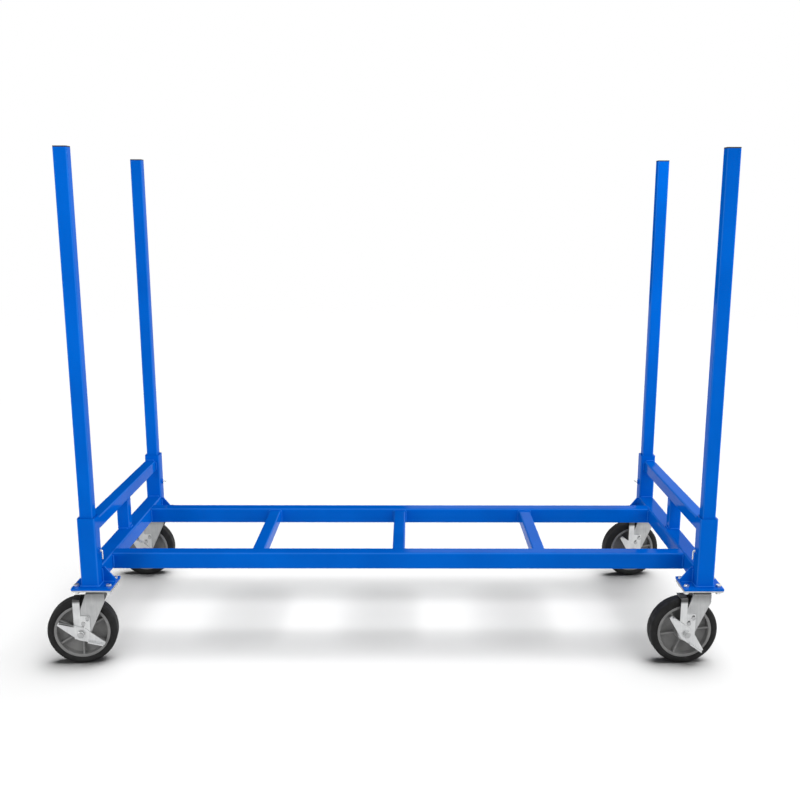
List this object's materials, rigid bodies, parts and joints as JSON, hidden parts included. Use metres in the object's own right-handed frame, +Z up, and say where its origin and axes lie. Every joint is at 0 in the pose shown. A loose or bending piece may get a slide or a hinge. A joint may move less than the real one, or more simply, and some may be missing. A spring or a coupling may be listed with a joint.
{
  "type": "material handling cart",
  "caption": "Open tube-frame stake cart on swivel casters with wheel brakes; square uprights lift out of corner sockets and clamp in place, for moving sheet and bar stock.",
  "frame": {"origin": "on the floor, midway between the four posts", "axes": "+X along the cart, the long way; +Y across it, away from the side the brake levers face; +Z up"},
  "size_m": [1.9681, 0.9138, 1.4638],
  "materials": {
    "blue_paint": "gloss powder coat, blue, on welded steel tube",
    "zinc_plate": "bright zinc plate on pressed and turned steel",
    "black_rubber": "matt black moulded rubber tread",
    "grey_core": "satin mid-grey moulded wheel core",
    "black_plastic": "black moulded tube plug"
  },
  "bodies": {
    "frame": {"side_rail_front": "blue_paint", "side_rail_rear": "blue_paint", "cross_bar_1": "blue_paint", "cross_bar_2": "blue_paint", "cross_bar_3": "blue_paint", "lower_end_rail_left": "blue_paint", "lower_end_rail_right": "blue_paint", "upper_end_rail_left": "blue_paint", "upper_end_rail_right": "blue_paint", "end_struts": "blue_paint", "post_sockets": "blue_paint", "clamp_nuts": "blue_paint", "gussets": "blue_paint", "base_plates": "blue_paint", "caster_plates": "zinc_plate", "kingpins": "zinc_plate", "swivel_balls": "zinc_plate", "caster_bolts": "zinc_plate", "caster_nuts": "zinc_plate"},
    "post_front_left": {"post_front_left": "blue_paint", "post_cap_front_left": "black_plastic"},
    "clamp_front_left": {"clamp_screw_front_left": "zinc_plate"},
    "fork_front_left": {"fork_front_left": "zinc_plate", "axle_front_left": "zinc_plate"},
    "wheel_front_left": {"tyre_front_left": "black_rubber", "wheel_core_front_left": "grey_core", "wheel_bearings_front_left": "zinc_plate"},
    "brake_lever_front_left": {"brake_lever_front_left": "zinc_plate"},
    "brake_arm_front_left": {"brake_arm_front_left": "zinc_plate"},
    "post_front_right": {"post_front_right": "blue_paint", "post_cap_front_right": "black_plastic"},
    "clamp_front_right": {"clamp_screw_front_right": "zinc_plate"},
    "fork_front_right": {"fork_front_right": "zinc_plate", "axle_front_right": "zinc_plate"},
    "wheel_front_right": {"tyre_front_right": "black_rubber", "wheel_core_front_right": "grey_core", "wheel_bearings_front_right": "zinc_plate"},
    "brake_lever_front_right": {"brake_lever_front_right": "zinc_plate"},
    "brake_arm_front_right": {"brake_arm_front_right": "zinc_plate"},
    "post_rear_left": {"post_rear_left": "blue_paint", "post_cap_rear_left": "black_plastic"},
    "clamp_rear_left": {"clamp_screw_rear_left": "zinc_plate"},
    "fork_rear_left": {"fork_rear_left": "zinc_plate", "axle_rear_left": "zinc_plate"},
    "wheel_rear_left": {"tyre_rear_left": "black_rubber", "wheel_core_rear_left": "grey_core", "wheel_bearings_rear_left": "zinc_plate"},
    "brake_lever_rear_left": {"brake_lever_rear_left": "zinc_plate"},
    "brake_arm_rear_left": {"brake_arm_rear_left": "zinc_plate"},
    "post_rear_right": {"post_rear_right": "blue_paint", "post_cap_rear_right": "black_plastic"},
    "clamp_rear_right": {"clamp_screw_rear_right": "zinc_plate"},
    "fork_rear_right": {"fork_rear_right": "zinc_plate", "axle_rear_right": "zinc_plate"},
    "wheel_rear_right": {"tyre_rear_right": "black_rubber", "wheel_core_rear_right": "grey_core", "wheel_bearings_rear_right": "zinc_plate"},
    "brake_lever_rear_right": {"brake_lever_rear_right": "zinc_plate"},
    "brake_arm_rear_right": {"brake_arm_rear_right": "zinc_plate"}
  },
  "joints": [
    {"name": "post_lift_front_left", "type": "slide", "parent": "frame", "child": "post_front_left", "axis": [0, 0, 1], "range_m": [0, 0.21]},
    {"name": "clamp_turn_front_left", "type": "hinge", "parent": "frame", "child": "clamp_front_left", "pos_m": [-0.889, -0.4064, 0.34295], "axis": [1, 0, 0], "range_deg": [-180, 180]},
    {"name": "swivel_front_left", "type": "hinge", "parent": "frame", "child": "fork_front_left", "pos_m": [-0.88265, -0.3937, 0.1], "axis": [0, 0, 1], "continuous": true},
    {"name": "wheel_spin_front_left", "type": "hinge", "parent": "fork_front_left", "child": "wheel_front_left", "pos_m": [-0.92667, -0.39989, 0.1], "axis": [-0.1392, 0.9903, 0], "continuous": true},
    {"name": "brake_turn_front_left", "type": "hinge", "parent": "fork_front_left", "child": "brake_lever_front_left", "pos_m": [-0.92667, -0.39989, 0.1], "axis": [-0.1392, 0.9903, 0], "range_deg": [0, 20]},
    {"name": "brake_shoe_front_left", "type": "slide", "parent": "fork_front_left", "child": "brake_arm_front_left", "axis": [0, 0, 1], "range_m": [0, 0.006]},
    {"name": "post_lift_front_right", "type": "slide", "parent": "frame", "child": "post_front_right", "axis": [0, 0, 1], "range_m": [0, 0.21]},
    {"name": "clamp_turn_front_right", "type": "hinge", "parent": "frame", "child": "clamp_front_right", "pos_m": [0.889, -0.4064, 0.34295], "axis": [1, 0, 0], "range_deg": [-180, 180]},
    {"name": "swivel_front_right", "type": "hinge", "parent": "frame", "child": "fork_front_right", "pos_m": [0.88265, -0.3937, 0.1], "axis": [0, 0, 1], "continuous": true},
    {"name": "wheel_spin_front_right", "type": "hinge", "parent": "fork_front_right", "child": "wheel_front_right", "pos_m": [0.83831, -0.3968, 0.1], "axis": [-0.0698, 0.9976, 0], "continuous": true},
    {"name": "brake_turn_front_right", "type": "hinge", "parent": "fork_front_right", "child": "brake_lever_front_right", "pos_m": [0.83831, -0.3968, 0.1], "axis": [-0.0698, 0.9976, 0], "range_deg": [-20, 0]},
    {"name": "brake_shoe_front_right", "type": "slide", "parent": "fork_front_right", "child": "brake_arm_front_right", "axis": [0, 0, 1], "range_m": [-0.006, 0]},
    {"name": "post_lift_rear_left", "type": "slide", "parent": "frame", "child": "post_rear_left", "axis": [0, 0, 1], "range_m": [0, 0.21]},
    {"name": "clamp_turn_rear_left", "type": "hinge", "parent": "frame", "child": "clamp_rear_left", "pos_m": [-0.889, 0.4064, 0.34295], "axis": [1, 0, 0], "range_deg": [-180, 180]},
    {"name": "swivel_rear_left", "type": "hinge", "parent": "frame", "child": "fork_rear_left", "pos_m": [-0.88265, 0.3937, 0.1], "axis": [0, 0, 1], "continuous": true},
    {"name": "wheel_spin_rear_left", "type": "hinge", "parent": "fork_rear_left", "child": "wheel_rear_left", "pos_m": [-0.92707, 0.39215, 0.1], "axis": [-0.0349, 0.9994, 0], "continuous": true},
    {"name": "brake_turn_rear_left", "type": "hinge", "parent": "fork_rear_left", "child": "brake_lever_rear_left", "pos_m": [-0.92707, 0.39215, 0.1], "axis": [-0.0349, 0.9994, 0], "range_deg": [-20, 0]},
    {"name": "brake_shoe_rear_left", "type": "slide", "parent": "fork_rear_left", "child": "brake_arm_rear_left", "axis": [0, 0, 1], "range_m": [-0.006, 0]},
    {"name": "post_lift_rear_right", "type": "slide", "parent": "frame", "child": "post_rear_right", "axis": [0, 0, 1], "range_m": [0, 0.21]},
    {"name": "clamp_turn_rear_right", "type": "hinge", "parent": "frame", "child": "clamp_rear_right", "pos_m": [0.889, 0.4064, 0.34295], "axis": [1, 0, 0], "range_deg": [-180, 180]},
    {"name": "swivel_rear_right", "type": "hinge", "parent": "frame", "child": "fork_rear_right", "pos_m": [0.88265, 0.3937, 0.1], "axis": [0, 0, 1], "continuous": true},
    {"name": "wheel_spin_rear_right", "type": "hinge", "parent": "fork_rear_right", "child": "wheel_rear_right", "pos_m": [0.83875, 0.38675, 0.1], "axis": [-0.1564, 0.9877, 0], "continuous": true},
    {"name": "brake_turn_rear_right", "type": "hinge", "parent": "fork_rear_right", "child": "brake_lever_rear_right", "pos_m": [0.83875, 0.38675, 0.1], "axis": [-0.1564, 0.9877, 0], "range_deg": [-20, 0]},
    {"name": "brake_shoe_rear_right", "type": "slide", "parent": "fork_rear_right", "child": "brake_arm_rear_right", "axis": [0, 0, 1], "range_m": [-0.006, 0]}
  ],
  "couplings": [
    {"joint": "brake_shoe_front_left", "follows": "brake_turn_front_left", "m_per_rad": 0.017189},
    {"joint": "brake_shoe_front_right", "follows": "brake_turn_front_right", "m_per_rad": 0.017189},
    {"joint": "brake_shoe_rear_left", "follows": "brake_turn_rear_left", "m_per_rad": 0.017189},
    {"joint": "brake_shoe_rear_right", "follows": "brake_turn_rear_right", "m_per_rad": 0.017189}
  ]
}
